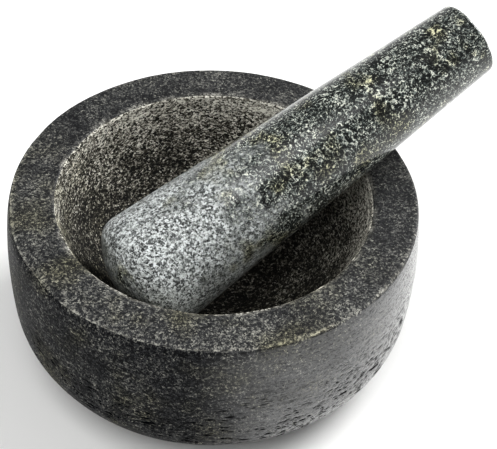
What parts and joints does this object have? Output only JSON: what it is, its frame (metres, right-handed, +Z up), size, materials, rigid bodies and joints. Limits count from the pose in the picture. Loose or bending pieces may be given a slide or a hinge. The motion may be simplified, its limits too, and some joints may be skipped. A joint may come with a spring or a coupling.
{
  "type": "mortar and pestle",
  "caption": "Low round granite mortar with a wide flat rim, a bowl-shaped hollow and a tapered stone pestle leaning in it, which lifts out.",
  "frame": {"origin": "middle of the bowl's flat base, on the surface it stands on", "axes": "+Z up along the bowl's axis; the pestle's grip end points towards +X and +Y"},
  "size_m": [0.1846, 0.16, 0.123],
  "materials": {
    "bowl_stone": "dark grey granite, honed outside and on the rim, rough and lighter in the hollow",
    "pestle_stone": "green-grey granite, polished at the grip and ground pale at the working end"
  },
  "bodies": {
    "bowl": {"mortar_bowl": "bowl_stone"},
    "pestle": {"pestle": "pestle_stone"}
  },
  "joints": [
    {"name": "pestle_lift", "type": "slide", "parent": "bowl", "child": "pestle", "axis": [0, 0, 1], "range_m": [0, 0.15]}
  ]
}
